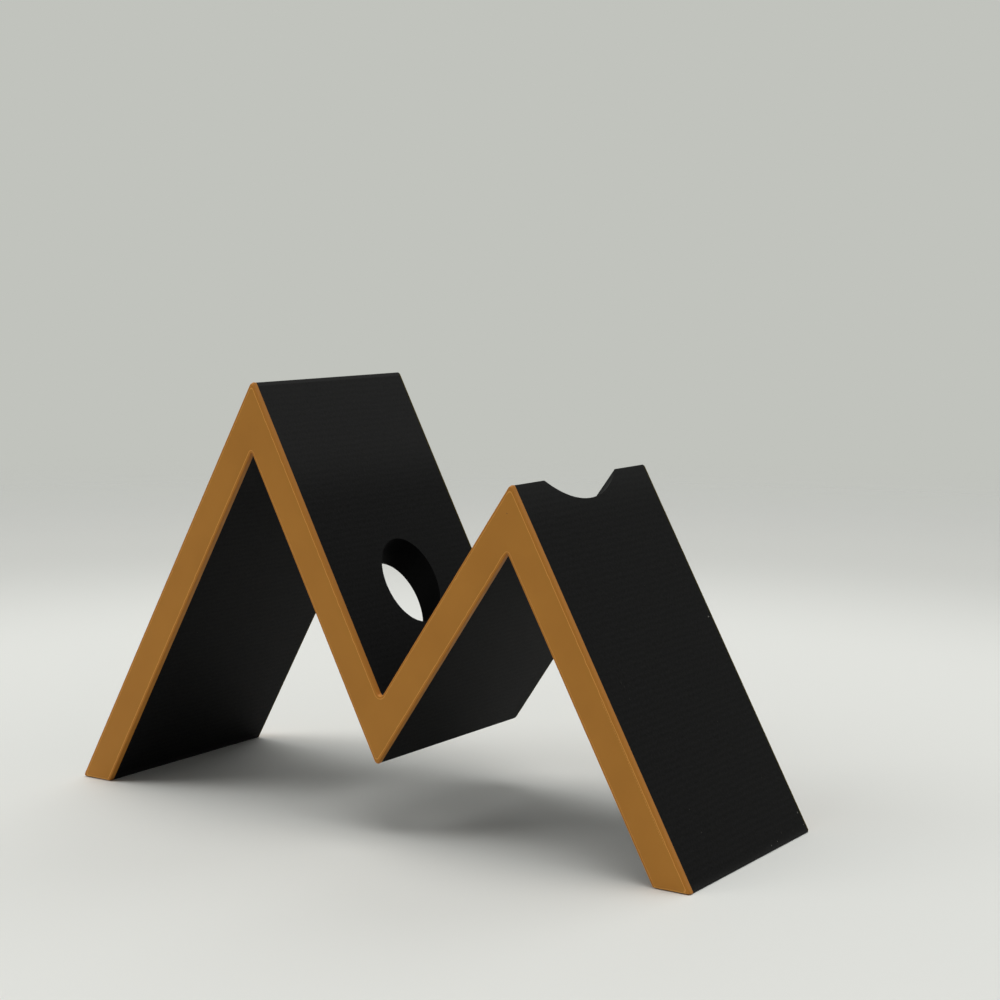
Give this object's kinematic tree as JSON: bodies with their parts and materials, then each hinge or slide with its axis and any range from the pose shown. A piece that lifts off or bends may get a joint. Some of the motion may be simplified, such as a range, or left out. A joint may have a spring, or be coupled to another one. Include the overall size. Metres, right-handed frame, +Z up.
{
  "type": "wine bottle holder",
  "caption": "Zigzag tabletop stand that holds a wine bottle slanting neck-down, with a slanted neck hole in one run and a round saddle across the lower peak.",
  "frame": {"origin": "on the table, in the middle of the stand's width and depth", "axes": "+X to the right seen from the gold front, +Y from the front face to the back face, +Z up"},
  "size_m": [0.2838, 0.095, 0.1667],
  "materials": {
    "black_pla": "matte black, printed in fine layers",
    "gold_pla": "satin ochre gold, printed flat on the bed"
  },
  "bodies": {
    "root": {"zigzag_stand": "black_pla"}
  },
  "joints": []
}
